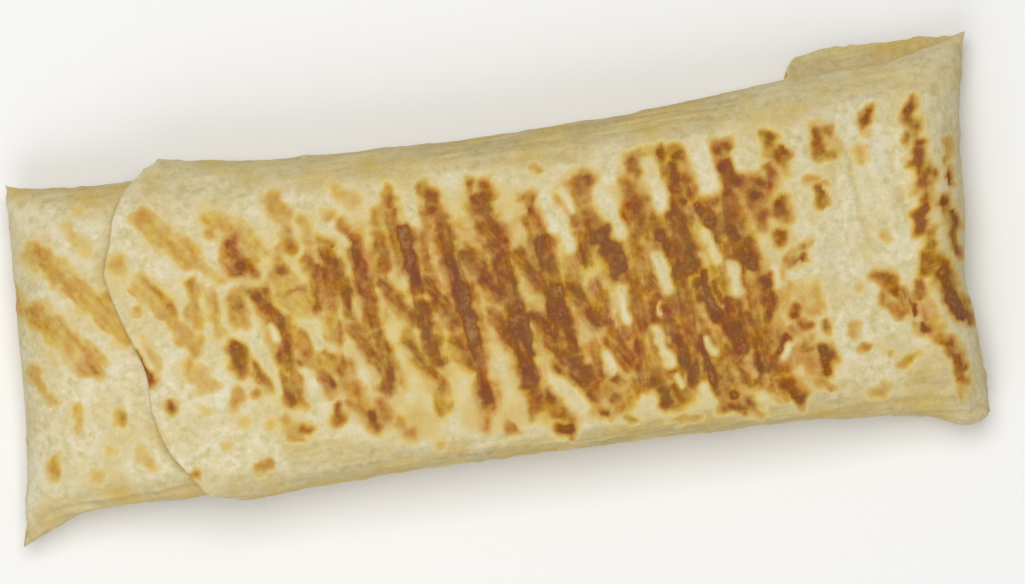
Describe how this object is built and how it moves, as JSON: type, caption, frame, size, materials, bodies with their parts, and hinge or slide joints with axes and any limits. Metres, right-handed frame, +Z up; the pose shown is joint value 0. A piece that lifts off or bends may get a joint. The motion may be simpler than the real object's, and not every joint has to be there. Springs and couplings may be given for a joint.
{
  "type": "french tacos",
  "caption": "Press-grilled french tacos: a filled tortilla roll inside a second, overlapping tortilla, flat and pillow-shaped with flared folded ends.",
  "frame": {"origin": "bottom centre of the bounding box: on the surface that the food lies on, below the middle of the roll", "axes": "+X along the roll from the bare end of the inner roll to the folded end of the outer tortilla, +Y towards the side where the seam flap sticks out, +Z up out of the marked top"},
  "size_m": [0.2916, 0.1144, 0.0407],
  "materials": {
    "inner_tortilla_crust": "matte baked wheat dough, cream, with golden slanting grill marks",
    "outer_tortilla_crust": "matte baked wheat dough, cream, with golden to dark brown grill marks and toasted spots"
  },
  "bodies": {
    "root": {"filled_roll": "inner_tortilla_crust", "outer_tortilla": "outer_tortilla_crust"}
  },
  "joints": []
}
